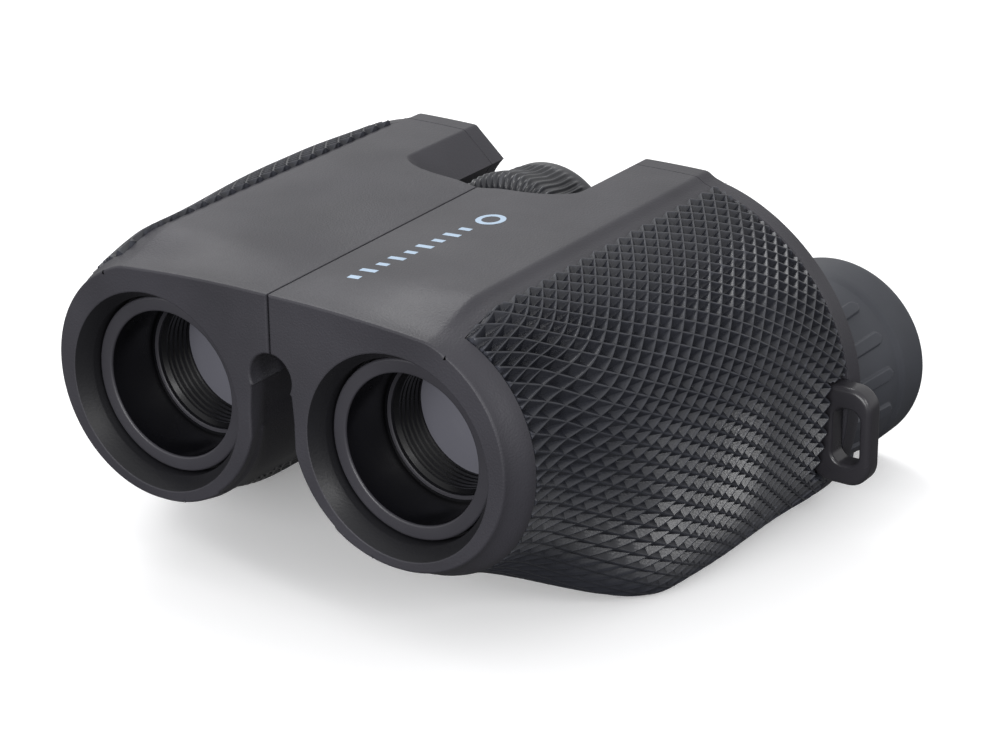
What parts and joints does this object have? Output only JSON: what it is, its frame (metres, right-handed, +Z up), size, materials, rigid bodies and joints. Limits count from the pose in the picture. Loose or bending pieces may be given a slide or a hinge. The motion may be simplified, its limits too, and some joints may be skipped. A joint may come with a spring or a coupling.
{
  "type": "binoculars",
  "caption": "Compact reverse-porro binoculars: two prism housings on a hinge, sliding objective tubes, centre focus wheel, dioptre ring, eyecups and strap lugs.",
  "frame": {"origin": "on the resting surface, under the middle of the bounding box, with the halves opened flat", "axes": "+Z up, +X towards the user's left half, -Y the way the objectives look"},
  "size_m": [0.1148, 0.0944, 0.0492],
  "materials": {
    "body": "fine-grained charcoal plastic, matte",
    "grip": "moulded rubber with raised diamonds, slight sheen on the edges",
    "lug": "smooth black plastic, glossy",
    "tube": "satin dark grey paint",
    "inner_black": "black, semi-gloss",
    "lens": "coated lens glass",
    "prism": "ground and polished glass",
    "steel": "turned steel",
    "brass": "turned brass",
    "wheel": "ribbed rubber tyre over plastic",
    "eyecup": "soft matte rubber with raised ribs"
  },
  "bodies": {
    "left_half": {"housing_left": "body", "rear_cover_left": "body", "grip_left": "grip", "strap_lug_left": "lug", "cover_screws_left": "steel", "prism_shelf_left": "inner_black", "front_prism_left": "prism", "rear_prism_left": "prism", "prism_clips_left": "steel", "eyepiece_barrel_left": "inner_black", "eyepiece_stop_left": "inner_black", "field_lens_left": "lens", "eye_lens_left": "lens", "eyepiece_ring_left": "inner_black", "eyecup_left": "eyecup", "hinge_pin": "steel", "hinge_bush": "steel"},
    "right_half": {"housing_right": "body", "rear_cover_right": "body", "grip_right": "grip", "strap_lug_right": "lug", "cover_screws_right": "steel", "prism_shelf_right": "inner_black", "front_prism_right": "prism", "rear_prism_right": "prism", "prism_clips_right": "steel"},
    "focus_wheel": {"focus_wheel": "wheel", "focus_screw": "steel", "wheel_cap": "body"},
    "objective_left": {"focus_nut": "brass", "objective_tube_left": "tube", "objective_ring_left": "inner_black", "objective_crown_left": "lens", "objective_flint_left": "lens", "focus_arm_left": "tube"},
    "objective_right": {"objective_tube_right": "tube", "objective_ring_right": "inner_black", "objective_crown_right": "lens", "objective_flint_right": "lens", "focus_arm_right": "tube"},
    "dioptre_ring": {"dioptre_ring": "body"},
    "eyepiece_right": {"eyepiece_barrel_right": "inner_black", "eyepiece_stop_right": "inner_black", "field_lens_right": "lens", "eye_lens_right": "lens", "eyepiece_ring_right": "inner_black", "eyecup_right": "eyecup"}
  },
  "joints": [
    {"name": "ipd_hinge", "type": "hinge", "parent": "left_half", "child": "right_half", "pos_m": [0, -0.02025, 0.0354], "axis": [0, -1, 0], "range_deg": [0, 36]},
    {"name": "focus_wheel_turn", "type": "hinge", "parent": "left_half", "child": "focus_wheel", "pos_m": [0, 0.01575, 0.0354], "axis": [0, 1, 0], "range_deg": [-60, 300]},
    {"name": "focus_slide_left", "type": "slide", "parent": "left_half", "child": "objective_left", "axis": [0, -1, 0], "range_m": [-0.0006, 0.003]},
    {"name": "focus_slide_right", "type": "slide", "parent": "right_half", "child": "objective_right", "axis": [0, -1, 0], "range_m": [-0.0006, 0.003]},
    {"name": "dioptre_turn", "type": "hinge", "parent": "right_half", "child": "dioptre_ring", "pos_m": [-0.0361, 0.02775, 0.0154], "axis": [0, 1, 0], "range_deg": [-40, 40]},
    {"name": "dioptre_slide", "type": "slide", "parent": "right_half", "child": "eyepiece_right", "axis": [0, 1, 0], "range_m": [-0.001, 0.001]}
  ],
  "couplings": [
    {"joint": "focus_wheel_turn", "follows": "focus_slide_left", "rad_per_m": 1745.3},
    {"joint": "focus_slide_right", "follows": "focus_slide_left", "ratio": 1},
    {"joint": "dioptre_turn", "follows": "dioptre_slide", "rad_per_m": 698.13}
  ]
}
